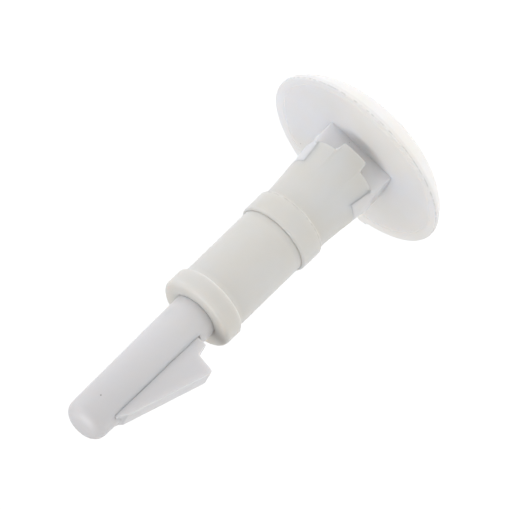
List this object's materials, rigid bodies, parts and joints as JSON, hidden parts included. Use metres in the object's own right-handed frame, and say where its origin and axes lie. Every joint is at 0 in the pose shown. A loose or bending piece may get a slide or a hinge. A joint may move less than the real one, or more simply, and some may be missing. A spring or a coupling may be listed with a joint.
{
  "type": "wall anchor",
  "caption": "Nylon snap-in wall anchor: mushroom-headed pin with a springy lock tongue near its tip, carrying a collared spacer sleeve that slides on the pin and is keyed to it.",
  "frame": {"origin": "middle of the flat on the back of the head, which is the bottom of the part when it stands on its head", "axes": "+Z along the pin from the head to the tip, +X towards the side that the lock tongue springs out of, +Y across the tongue"},
  "size_m": [0.019, 0.019, 0.0399],
  "materials": {
    "pin_nylon": "natural milky nylon 66, smooth moulded, satin",
    "sleeve_nylon": "natural milky nylon 66, smooth moulded, satin, slightly warmer where the wall is thick"
  },
  "bodies": {
    "head_pin": {"head_pin": "pin_nylon"},
    "spacer_sleeve": {"spacer_sleeve": "sleeve_nylon"},
    "lock_tongue": {"lock_tongue": "pin_nylon"}
  },
  "joints": [
    {"name": "sleeve_slide", "type": "slide", "parent": "head_pin", "child": "spacer_sleeve", "axis": [0, 0, 1], "range_m": [0, 0.0016]},
    {"name": "tongue_flex", "type": "hinge", "parent": "head_pin", "child": "lock_tongue", "pos_m": [0.00195, 0, 0.03605], "axis": [0, 1, 0], "range_deg": [0, 16], "stiffness_Nm_per_rad": 0.11}
  ]
}
